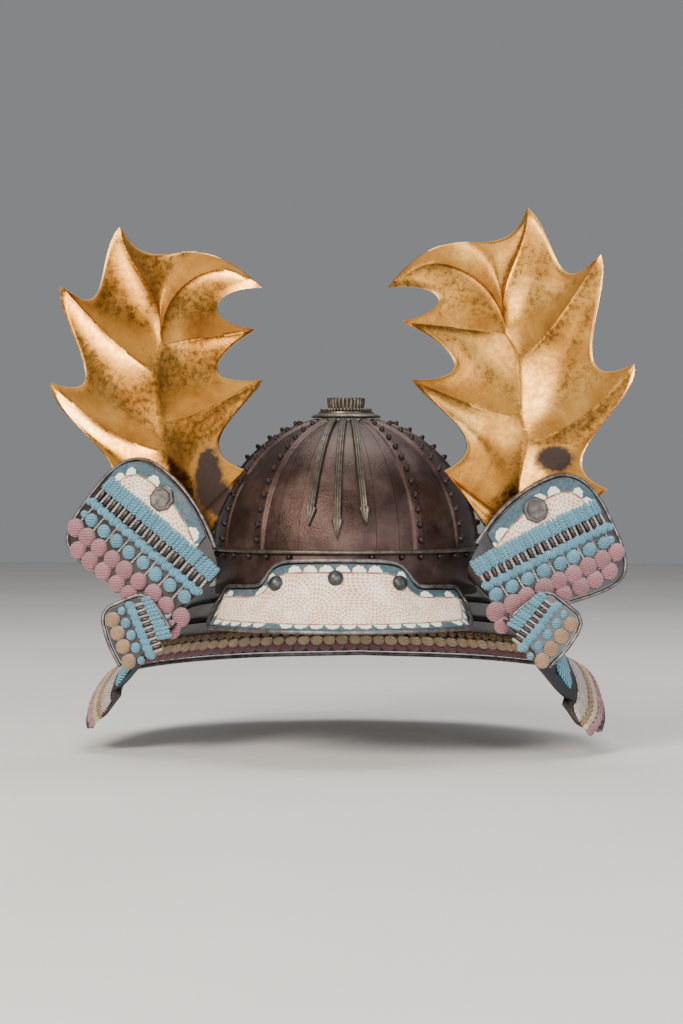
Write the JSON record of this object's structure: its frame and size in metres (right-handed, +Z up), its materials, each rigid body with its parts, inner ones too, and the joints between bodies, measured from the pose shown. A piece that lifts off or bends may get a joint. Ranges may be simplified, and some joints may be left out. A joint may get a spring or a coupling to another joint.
{
  "type": "kabuto samurai helmet",
  "caption": "Riveted iron helmet bowl with leather-faced visor, laced flaring neck guard with turned-back panels, and a pair of gilt leaf crests.",
  "frame": {"origin": "centre of the bowl's open mouth, in the plane of the waist band's lower edge, where the wearer's head enters", "axes": "+Z up, the front of the helmet faces -Y, +X is to the right of someone looking at its front"},
  "size_m": [0.4754, 0.3937, 0.419],
  "materials": {
    "russet_iron": "russet-patinated hammered iron, slightly pitted",
    "bronze": "dull dark bronze with an old silvery patina",
    "gilt": "burnished gold leaf over moulded lacquered hide, rubbed and spotted",
    "lacquer": "black-brown urushi lacquer",
    "printed_leather": "smoked deerskin stencilled with small leaves, blue-grey borders with half blossoms",
    "blue_silk": "flat braided silk cord",
    "pink_silk": "flat braided silk cord",
    "tan_silk": "flat braided silk cord",
    "dark_iron": "dark grey iron binding with worn edges"
  },
  "bodies": {
    "root": {"plate_front": "russet_iron", "plate_right_1": "russet_iron", "plate_left_1": "russet_iron", "plate_right_2": "russet_iron", "plate_left_2": "russet_iron", "plate_right_3": "russet_iron", "plate_left_3": "russet_iron", "plate_right_4": "russet_iron", "plate_left_4": "russet_iron", "plate_right_5": "russet_iron", "plate_left_5": "russet_iron", "plate_right_6": "russet_iron", "plate_left_6": "russet_iron", "plate_right_7": "russet_iron", "plate_left_7": "russet_iron", "plate_back": "russet_iron", "waist_band": "russet_iron", "crown_base": "bronze", "crown_collar": "bronze", "rib_left": "bronze", "rib_middle": "bronze", "rib_right": "bronze", "visor": "printed_leather", "visor_rim": "dark_iron", "stud_left": "dark_iron", "stud_middle": "dark_iron", "stud_right": "dark_iron", "leaf_left": "gilt", "prong_left": "dark_iron", "leaf_right": "gilt", "prong_right": "dark_iron", "lame_1": "lacquer", "lame_2": "lacquer", "lame_3": "lacquer", "lame_4": "lacquer", "edge_upper_left": "dark_iron", "edge_small_left": "dark_iron", "edge_upper_right": "dark_iron", "edge_small_right": "dark_iron", "edge_guard": "dark_iron", "leather_left": "printed_leather", "lace_upper_band_left": "blue_silk", "lace_upper_rows_left": "pink_silk", "lace_small_band_left": "blue_silk", "lace_small_rows_left": "tan_silk", "crest_left": "bronze", "leather_right": "printed_leather", "lace_upper_band_right": "blue_silk", "lace_upper_rows_right": "pink_silk", "lace_small_band_right": "blue_silk", "lace_small_rows_right": "tan_silk", "crest_right": "bronze", "lace_guard_inner": "tan_silk", "lace_back_1": "blue_silk", "lace_back_2": "blue_silk", "lace_back_3": "blue_silk", "lace_back_4": "blue_silk"}
  },
  "joints": []
}
